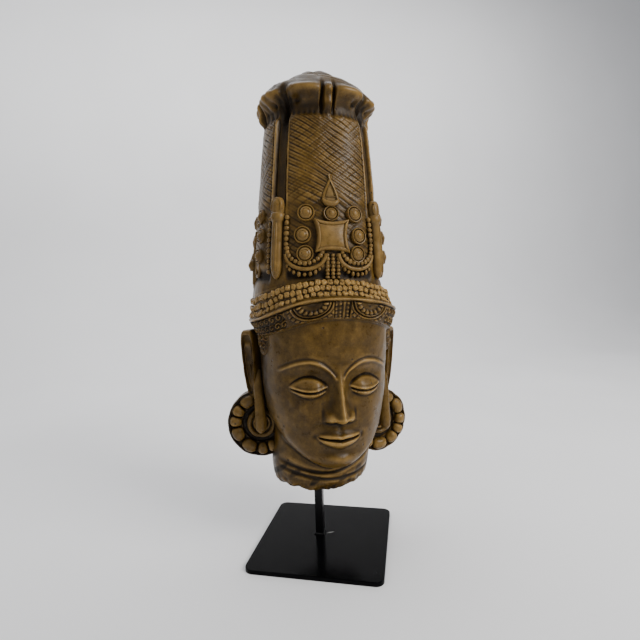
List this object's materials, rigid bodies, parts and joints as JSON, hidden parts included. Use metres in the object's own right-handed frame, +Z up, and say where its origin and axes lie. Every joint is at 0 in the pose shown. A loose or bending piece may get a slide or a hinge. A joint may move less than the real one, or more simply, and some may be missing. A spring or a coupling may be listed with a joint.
{
  "type": "stone head sculpture",
  "caption": "Carved stone head of a deity with a tall lattice crown, flared diadem and ring earrings, held up by a square steel post on a square steel plate.",
  "frame": {"origin": "middle of the plate's underside, on the surface that the sculpture stands on", "axes": "+Z up along the post and the crown, -Y the way the face looks, +X towards the head's own left ear"},
  "size_m": [0.1892, 0.1636, 0.4638],
  "materials": {
    "waxed_stone": "satin",
    "black_steel": "satin"
  },
  "bodies": {
    "root": {"stone_head": "waxed_stone", "post": "black_steel", "base_plate": "black_steel"}
  },
  "joints": []
}
